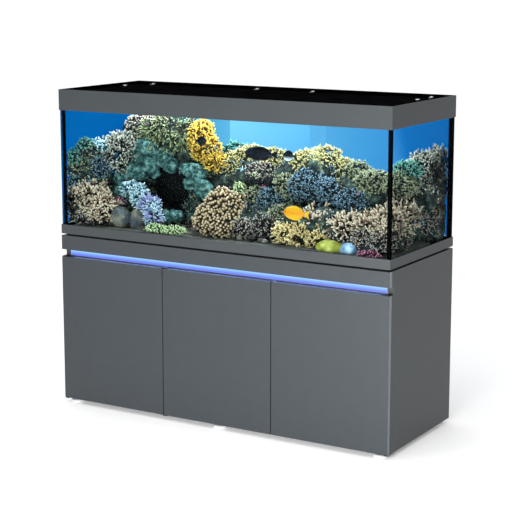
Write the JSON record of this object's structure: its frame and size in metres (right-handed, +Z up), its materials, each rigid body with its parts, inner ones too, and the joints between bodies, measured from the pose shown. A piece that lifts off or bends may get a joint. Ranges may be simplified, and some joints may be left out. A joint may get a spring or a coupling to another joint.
{
  "type": "aquarium on stand",
  "caption": "Long glass reef aquarium with a hood frame on a handle-less cabinet with hinged doors, a lit grip channel, levelling feet, a sump and a pump.",
  "frame": {"origin": "centre of the footprint, on the floor under the feet", "axes": "+X along the width to the viewer's right, -Y to the door fronts, +Z up"},
  "size_m": [1.6, 0.6, 1.4],
  "materials": {
    "satin_lacquer": "anthracite-grey satin lacquer on board",
    "carcass_board": "grey melamine board",
    "led_aluminium": "anodised extrusion",
    "lamp_aluminium": "anodised lamp housing",
    "led_diffuser": "opal diffuser lit blue",
    "black_plastic": "moulded, fine grain",
    "zinc_steel": "zinc plated",
    "stainless": "polished stainless",
    "door_hardware": "nylon bushes and strike plates",
    "foot_plastic": "pale grey moulded",
    "foam_mat": "closed-cell foam",
    "frame_paint": "anthracite-grey powder coat",
    "clear_glass": "float glass, ground edges",
    "black_silicone": "smoothed silicone",
    "blue_film": "blue background film",
    "liner_black": "extruded black bar",
    "blue_acrylic": "blue cast acrylic",
    "cover_acrylic": "black acrylic sheet",
    "coral_sand": "coarse coral sand",
    "reef_rock": "porous reef rock",
    "grey_pvc": "solvent-welded pipe",
    "lever_red": "moulded red lever",
    "sump_glass": "float glass",
    "filter_felt": "needled polyester felt",
    "clear_acrylic": "clear cast acrylic",
    "rotor_plastic": "moulded rotor"
  },
  "bodies": {
    "cabinet_and_tank": {"bottom_panel": "carcass_board", "left_side_panel": "satin_lacquer", "right_side_panel": "satin_lacquer", "dividers_and_shelf": "carcass_board", "top_panel": "carcass_board", "back_panel": "carcass_board", "fascia_rail": "satin_lacquer", "channel_rail": "carcass_board", "led_profile": "led_aluminium", "led_diffuser": "led_diffuser", "led_driver": "black_plastic", "pivot_brackets": "zinc_steel", "door_magnets": "black_plastic", "light_bars": "lamp_aluminium", "steel_inserts": "zinc_steel", "safety_mat": "foam_mat", "base_frame": "frame_paint", "bottom_glass": "clear_glass", "front_glass": "clear_glass", "back_glass": "clear_glass", "left_glass": "clear_glass", "right_glass": "clear_glass", "silicone_seams": "black_silicone", "glass_braces": "clear_glass", "background_film": "blue_film", "hood_panels": "frame_paint", "hood_liner": "liner_black", "flap_hinge_brackets": "stainless", "sand_bed": "coral_sand", "reef_left": "reef_rock", "reef_right": "reef_rock", "overflow_box": "blue_acrylic", "drain_pipe": "grey_pvc", "return_pipe": "grey_pvc", "sump_tank": "sump_glass", "skimmer_body": "clear_acrylic", "return_pump": "black_plastic", "heater": "black_plastic"},
    "left_door": {"left_door": "satin_lacquer", "left_door_fittings": "door_hardware"},
    "middle_door": {"middle_door": "satin_lacquer", "middle_door_fittings": "door_hardware"},
    "right_door": {"right_door": "satin_lacquer", "right_door_fittings": "door_hardware"},
    "left_flap": {"left_flap": "cover_acrylic", "left_flap_fittings": "stainless"},
    "right_flap": {"right_flap": "cover_acrylic", "right_flap_fittings": "stainless"},
    "foot_front_left": {"foot_front_left": "foot_plastic"},
    "foot_front_middle": {"foot_front_middle": "foot_plastic"},
    "foot_front_right": {"foot_front_right": "foot_plastic"},
    "foot_rear_left": {"foot_rear_left": "foot_plastic"},
    "foot_rear_middle": {"foot_rear_middle": "foot_plastic"},
    "foot_rear_right": {"foot_rear_right": "foot_plastic"},
    "overflow_comb": {"overflow_comb": "blue_acrylic"},
    "filter_sock": {"filter_sock": "filter_felt"},
    "skimmer_cup": {"skimmer_cup": "clear_acrylic"},
    "return_nozzle": {"return_nozzle": "black_plastic"},
    "valve_lever": {"valve_lever": "lever_red"},
    "pump_impeller": {"pump_impeller": "rotor_plastic"}
  },
  "joints": [
    {"name": "left_door_hinge", "type": "hinge", "parent": "cabinet_and_tank", "child": "left_door", "pos_m": [-0.794, -0.293, 0.343], "axis": [0, 0, -1], "range_deg": [0, 110]},
    {"name": "middle_door_hinge", "type": "hinge", "parent": "cabinet_and_tank", "child": "middle_door", "pos_m": [-0.25867, -0.293, 0.343], "axis": [0, 0, -1], "range_deg": [0, 110]},
    {"name": "right_door_hinge", "type": "hinge", "parent": "cabinet_and_tank", "child": "right_door", "pos_m": [0.794, -0.293, 0.343], "axis": [0, 0, 1], "range_deg": [0, 110]},
    {"name": "left_flap_hinge", "type": "hinge", "parent": "cabinet_and_tank", "child": "left_flap", "pos_m": [-0.42, 0.274, 1.389], "axis": [-1, 0, 0], "range_deg": [0, 85]},
    {"name": "right_flap_hinge", "type": "hinge", "parent": "cabinet_and_tank", "child": "right_flap", "pos_m": [0.42, 0.274, 1.389], "axis": [-1, 0, 0], "range_deg": [0, 85]},
    {"name": "foot_front_left_turn", "type": "hinge", "parent": "cabinet_and_tank", "child": "foot_front_left", "pos_m": [-0.755, -0.262, 0.01], "axis": [0, 0, 1], "continuous": true},
    {"name": "foot_front_middle_turn", "type": "hinge", "parent": "cabinet_and_tank", "child": "foot_front_middle", "pos_m": [0, -0.262, 0.01], "axis": [0, 0, 1], "continuous": true},
    {"name": "foot_front_right_turn", "type": "hinge", "parent": "cabinet_and_tank", "child": "foot_front_right", "pos_m": [0.755, -0.262, 0.01], "axis": [0, 0, 1], "continuous": true},
    {"name": "foot_rear_left_turn", "type": "hinge", "parent": "cabinet_and_tank", "child": "foot_rear_left", "pos_m": [-0.755, 0.262, 0.01], "axis": [0, 0, 1], "continuous": true},
    {"name": "foot_rear_middle_turn", "type": "hinge", "parent": "cabinet_and_tank", "child": "foot_rear_middle", "pos_m": [0, 0.262, 0.01], "axis": [0, 0, 1], "continuous": true},
    {"name": "foot_rear_right_turn", "type": "hinge", "parent": "cabinet_and_tank", "child": "foot_rear_right", "pos_m": [0.755, 0.262, 0.01], "axis": [0, 0, 1], "continuous": true},
    {"name": "comb_lift", "type": "slide", "parent": "cabinet_and_tank", "child": "overflow_comb", "axis": [0, 0, 1], "range_m": [0, 0.03]},
    {"name": "sock_lift", "type": "slide", "parent": "cabinet_and_tank", "child": "filter_sock", "axis": [0, 0, 1], "range_m": [0, 0.08]},
    {"name": "cup_lift", "type": "slide", "parent": "cabinet_and_tank", "child": "skimmer_cup", "axis": [0, 0, 1], "range_m": [0, 0.06]},
    {"name": "nozzle_swivel", "type": "hinge", "parent": "cabinet_and_tank", "child": "return_nozzle", "pos_m": [0.12, 0.117, 1.345], "axis": [0, 0, 1], "range_deg": [-25, 25]},
    {"name": "valve_turn", "type": "hinge", "parent": "cabinet_and_tank", "child": "valve_lever", "pos_m": [0.12, 0.163, 0.59], "axis": [0, 1, 0], "range_deg": [0, 90]},
    {"name": "impeller_spin", "type": "hinge", "parent": "cabinet_and_tank", "child": "pump_impeller", "pos_m": [0.15, 0.15, 0.095], "axis": [0, 1, 0], "continuous": true}
  ]
}
